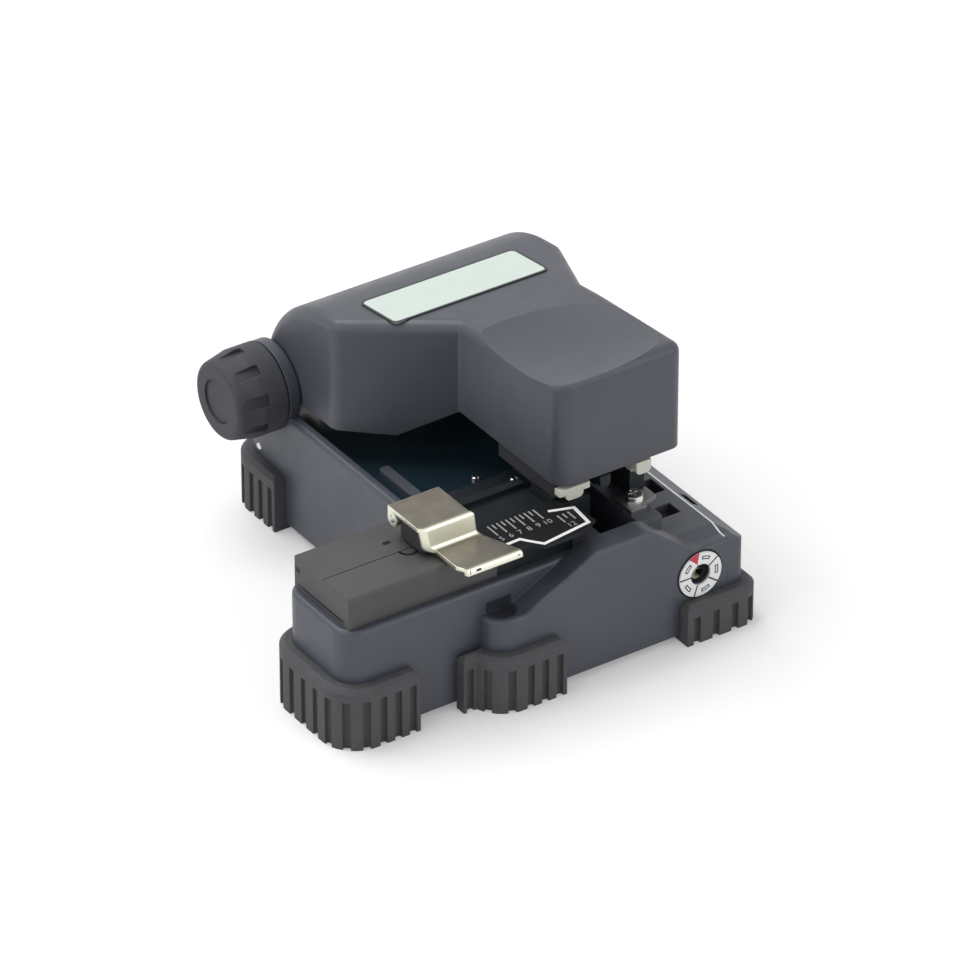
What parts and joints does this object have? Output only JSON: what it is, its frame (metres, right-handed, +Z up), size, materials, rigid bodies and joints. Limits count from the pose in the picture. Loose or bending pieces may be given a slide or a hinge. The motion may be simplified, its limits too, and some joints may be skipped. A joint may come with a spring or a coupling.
{
  "type": "fibre cleaver",
  "caption": "Bench fibre cleaver with a hinged lever, sliding disc blade, sprung clamps, holder clip, scale and rubber corner boots.",
  "frame": {"origin": "centre of the footprint, on the surface that the boots stand on", "axes": "+Z up, the operator stands at -Y, +X to the operator's right"},
  "size_m": [0.0936, 0.0964, 0.0592],
  "materials": {
    "shell": "fine textured moulding",
    "lever_shell": "fine textured moulding",
    "dark_plastic": "satin",
    "boot_rubber": "matte moulded",
    "knob_rubber": "matte moulded",
    "dark_screw": "black",
    "bright_steel": "bright",
    "spring_steel": "drawn wire",
    "nickel": "satin nickel",
    "label": "plain plate",
    "pad_rubber": "smooth pad",
    "black_anodised": "black anodised",
    "scale": "black with plain marks",
    "holder": "bead blasted",
    "dial": "printed ring",
    "brass": "turned"
  },
  "bodies": {
    "base": {"base_housing": "shell", "boot_front_centre": "boot_rubber", "boot_front_left": "boot_rubber", "boot_front_right": "boot_rubber", "boot_rear_left": "boot_rubber", "boot_rear_right": "boot_rubber", "bottom_plate": "dark_plastic", "bottom_screws": "dark_screw", "clamp_plate": "bright_steel", "clamp_plate_screw": "bright_steel", "clip_bracket": "holder", "clip_pin": "bright_steel", "dial_ring": "dial", "fibre_guide": "black_anodised", "hinge_shaft": "bright_steel", "holder_block": "holder", "lever_spring": "spring_steel", "lower_clamp_left": "black_anodised", "lower_clamp_right": "black_anodised", "rail_mounts": "black_anodised", "scale_plate": "scale", "side_cover": "shell", "side_cover_screws": "dark_screw", "slide_rails": "bright_steel"},
    "lever": {"lever_housing": "lever_shell", "label_plate": "label", "lever_inner_frame": "dark_plastic", "clamp_springs": "spring_steel"},
    "upper_clamp_left": {"upper_clamp_left": "pad_rubber"},
    "upper_clamp_right": {"upper_clamp_right": "pad_rubber"},
    "anvil": {"anvil": "black_anodised"},
    "fibre_clip": {"fibre_clip": "nickel", "clip_pad": "dark_plastic"},
    "blade_carriage": {"blade_carriage": "black_anodised", "blade_nut": "bright_steel"},
    "blade": {"blade": "bright_steel"},
    "height_screw": {"height_screw": "brass"},
    "lock_knob": {"lock_knob": "knob_rubber", "knob_cap": "knob_rubber"}
  },
  "joints": [
    {"name": "lever_hinge", "type": "hinge", "parent": "base", "child": "lever", "pos_m": [0, 0.0373, 0.0301], "axis": [-1, 0, 0], "range_deg": [0, 50]},
    {"name": "upper_clamp_left_slide", "type": "slide", "parent": "lever", "child": "upper_clamp_left", "axis": [0, 0, 1], "range_m": [0, 0.0005], "stiffness_N_per_m": 40, "springref_m": -0.001, "deforming": ["clamp_springs"]},
    {"name": "upper_clamp_right_slide", "type": "slide", "parent": "lever", "child": "upper_clamp_right", "axis": [0, 0, 1], "range_m": [0, 0.0005], "stiffness_N_per_m": 40, "springref_m": -0.001, "deforming": ["clamp_springs"]},
    {"name": "anvil_slide", "type": "slide", "parent": "lever", "child": "anvil", "axis": [0, 0, 1], "range_m": [0, 0.0005], "stiffness_N_per_m": 40, "springref_m": -0.001, "deforming": ["clamp_springs"]},
    {"name": "fibre_clip_hinge", "type": "hinge", "parent": "base", "child": "fibre_clip", "pos_m": [0, -0.0252, 0.0364], "axis": [-1, 0, 0], "range_deg": [0, 100]},
    {"name": "carriage_slide", "type": "slide", "parent": "base", "child": "blade_carriage", "axis": [0, -1, 0], "range_m": [0, 0.0145]},
    {"name": "blade_turn", "type": "hinge", "parent": "blade_carriage", "child": "blade", "pos_m": [0.0195, -0.0188, 0.0262], "axis": [1, 0, 0], "range_deg": [-180, 180]},
    {"name": "height_screw_turn", "type": "hinge", "parent": "base", "child": "height_screw", "pos_m": [0.0336, -0.0456, 0.0141], "axis": [0, -1, 0], "range_deg": [-180, 180]},
    {"name": "lock_knob_turn", "type": "hinge", "parent": "base", "child": "lock_knob", "pos_m": [-0.0236, 0.0373, 0.0301], "axis": [1, 0, 0], "range_deg": [0, 90]}
  ],
  "couplings": [
    {"joint": "carriage_slide", "follows": "lever_hinge", "m_per_rad": 0.016616}
  ]
}
